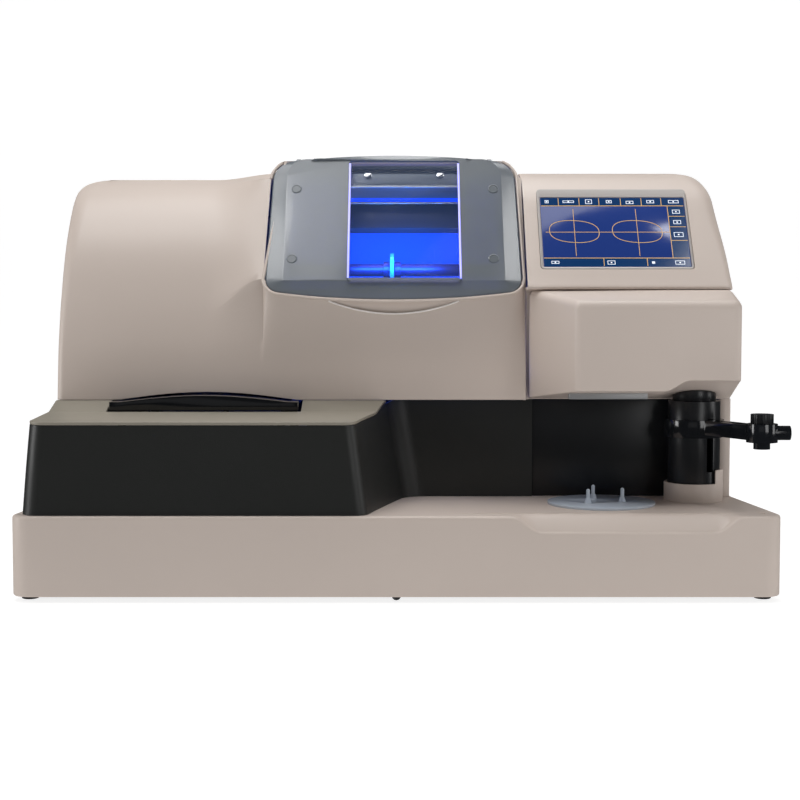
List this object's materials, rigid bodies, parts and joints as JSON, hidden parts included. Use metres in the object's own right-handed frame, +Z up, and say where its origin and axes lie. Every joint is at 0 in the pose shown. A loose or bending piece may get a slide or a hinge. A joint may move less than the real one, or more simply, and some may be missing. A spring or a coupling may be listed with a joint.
{
  "type": "optician's lens finishing unit",
  "caption": "Bench-top optician's unit: frame tracer, wet lens grinding chamber under a hinged smoky lid, touch screen, and lens centring station with a swing arm.",
  "frame": {"origin": "centre of the bounding box on the bench surface", "axes": "+X to the right seen from the front, +Y to the rear, +Z up"},
  "size_m": [0.752, 0.5, 0.446],
  "materials": {
    "cover_beige": "fine-grained satin moulding",
    "charcoal_plastic": "fine-grained satin moulding",
    "black_plastic": "satin moulding",
    "gloss_black": "polished",
    "sheet_steel": "zinc plated sheet",
    "brushed_steel": "brushed",
    "bright_steel": "ground and polished",
    "cast_alloy": "cast, bead blasted",
    "chamber_lining": "wet, grey lining",
    "rubber": "matt",
    "smoke_plastic": "frosted smoke-grey acrylic",
    "clear_plastic": "clear acrylic",
    "lens_glass": "clear",
    "screen_glass": "black-edged touch glass",
    "screen": "lit display",
    "circuit_board": "solder mask",
    "lamp_white": "diffuser",
    "lamp_blue": "lit diffuser",
    "wheel_bronze": "diamond coated rims"
  },
  "bodies": {
    "root": {"base_shell": "cover_beige", "chassis_plate": "sheet_steel", "corner_feet": "rubber", "machine_frame": "cast_alloy", "lower_skirt": "charcoal_plastic", "tracer_housing": "charcoal_plastic", "tracer_deck": "cover_beige", "tracer_frame": "cast_alloy", "jaw_rods": "bright_steel", "tracer_motor": "cast_alloy", "main_cover": "cover_beige", "hood_frame": "cover_beige", "rear_cover": "cover_beige", "console_cover": "cover_beige", "head_cover": "cover_beige", "bay_panel": "gloss_black", "head_light_bar": "lamp_white", "centring_camera": "black_plastic", "touch_glass": "screen_glass", "lcd_panel": "screen", "control_board": "circuit_board", "power_supply": "cast_alloy", "chamber_tub": "chamber_lining", "chamber_header": "brushed_steel", "chamber_led_strip": "lamp_blue", "water_jets": "bright_steel", "lid_seal": "rubber", "hinge_pins": "bright_steel", "spindle_bearings": "bright_steel", "drive_belt": "rubber", "spindle_motor": "cast_alloy", "fan_frame": "black_plastic", "power_inlet": "black_plastic", "water_spigots": "bright_steel", "cover_screws": "bright_steel", "column_ring": "cover_beige", "column_post": "sheet_steel", "lens_disc": "clear_plastic", "disc_lamp": "lamp_blue"},
    "front_jaw": {"front_jaw": "black_plastic"},
    "rear_jaw": {"rear_jaw": "black_plastic"},
    "turntable": {"tracer_turntable": "sheet_steel"},
    "stylus_slider": {"stylus_slider": "cast_alloy"},
    "stylus": {"stylus": "black_plastic"},
    "lid": {"chamber_lid": "smoke_plastic", "lid_window": "clear_plastic"},
    "carriage": {"lens_carriage": "cast_alloy"},
    "left_shaft": {"left_shaft": "bright_steel", "lens": "lens_glass"},
    "clamp_quill": {"clamp_quill": "bright_steel"},
    "right_shaft": {"right_shaft": "bright_steel"},
    "spindle": {"spindle": "bright_steel", "grinding_wheels": "wheel_bronze"},
    "motor_rotor": {"motor_rotor": "bright_steel"},
    "fan_rotor": {"fan_rotor": "black_plastic"},
    "rocker_switch": {"rocker_switch": "black_plastic"},
    "column": {"column_sleeve": "black_plastic"},
    "arm": {"swing_arm": "black_plastic"},
    "holder_knob": {"holder_knob": "black_plastic"},
    "levelling_foot": {"levelling_foot": "bright_steel"}
  },
  "joints": [
    {"name": "lid_hinge", "type": "hinge", "parent": "root", "child": "lid", "pos_m": [-0.00795, -0.012, 0.436], "axis": [-1, 0, 0], "range_deg": [0, 70]},
    {"name": "jaw_slide", "type": "slide", "parent": "root", "child": "front_jaw", "axis": [0, -1, 0], "range_m": [0, 0.058]},
    {"name": "rear_jaw_slide", "type": "slide", "parent": "root", "child": "rear_jaw", "axis": [0, 1, 0], "range_m": [0, 0.058]},
    {"name": "turntable_spin", "type": "hinge", "parent": "root", "child": "turntable", "pos_m": [-0.20045, -0.056, 0.118], "axis": [0, 0, 1], "continuous": true},
    {"name": "stylus_reach", "type": "slide", "parent": "turntable", "child": "stylus_slider", "axis": [1, 0, 0], "range_m": [-0.01, 0.008]},
    {"name": "stylus_lift", "type": "slide", "parent": "stylus_slider", "child": "stylus", "axis": [0, 0, 1], "range_m": [0, 0.01]},
    {"name": "carriage_feed", "type": "slide", "parent": "root", "child": "carriage", "axis": [0, 0, 1], "range_m": [-0.016, 0]},
    {"name": "left_shaft_spin", "type": "hinge", "parent": "carriage", "child": "left_shaft", "pos_m": [-0.00495, -0.05, 0.321], "axis": [1, 0, 0], "continuous": true},
    {"name": "clamp_slide", "type": "slide", "parent": "carriage", "child": "clamp_quill", "axis": [1, 0, 0], "range_m": [0, 0.018]},
    {"name": "right_shaft_spin", "type": "hinge", "parent": "clamp_quill", "child": "right_shaft", "pos_m": [-0.00495, -0.05, 0.321], "axis": [1, 0, 0], "continuous": true},
    {"name": "spindle_spin", "type": "hinge", "parent": "root", "child": "spindle", "pos_m": [-0.00495, -0.025, 0.25], "axis": [1, 0, 0], "continuous": true},
    {"name": "motor_spin", "type": "hinge", "parent": "root", "child": "motor_rotor", "pos_m": [-0.00495, 0.07, 0.13], "axis": [1, 0, 0], "continuous": true},
    {"name": "fan_spin", "type": "hinge", "parent": "root", "child": "fan_rotor", "pos_m": [0.23505, 0.22, 0.31], "axis": [0, 1, 0], "continuous": true},
    {"name": "rocker_tilt", "type": "hinge", "parent": "root", "child": "rocker_switch", "pos_m": [0.19155, 0.235, 0.1145], "axis": [0, 0, 1], "range_deg": [0, 14]},
    {"name": "arm_swing", "type": "hinge", "parent": "root", "child": "column", "pos_m": [0.30105, -0.126, 0.12], "axis": [0, 0, 1], "range_deg": [-101, 22]},
    {"name": "arm_press", "type": "slide", "parent": "column", "child": "arm", "axis": [0, 0, 1], "range_m": [-0.032, 0], "stiffness_N_per_m": 120, "springref_m": 0.03},
    {"name": "knob_turn", "type": "hinge", "parent": "arm", "child": "holder_knob", "pos_m": [0.34895, -0.21763, 0.17], "axis": [0, 0, 1], "continuous": true},
    {"name": "foot_turn", "type": "hinge", "parent": "root", "child": "levelling_foot", "pos_m": [-0.00495, -0.236, 0.01], "axis": [0, 0, 1], "continuous": true}
  ],
  "couplings": [
    {"joint": "rear_jaw_slide", "follows": "jaw_slide", "ratio": 1},
    {"joint": "right_shaft_spin", "follows": "left_shaft_spin", "ratio": 1},
    {"joint": "motor_spin", "follows": "spindle_spin", "ratio": 0.75}
  ]
}
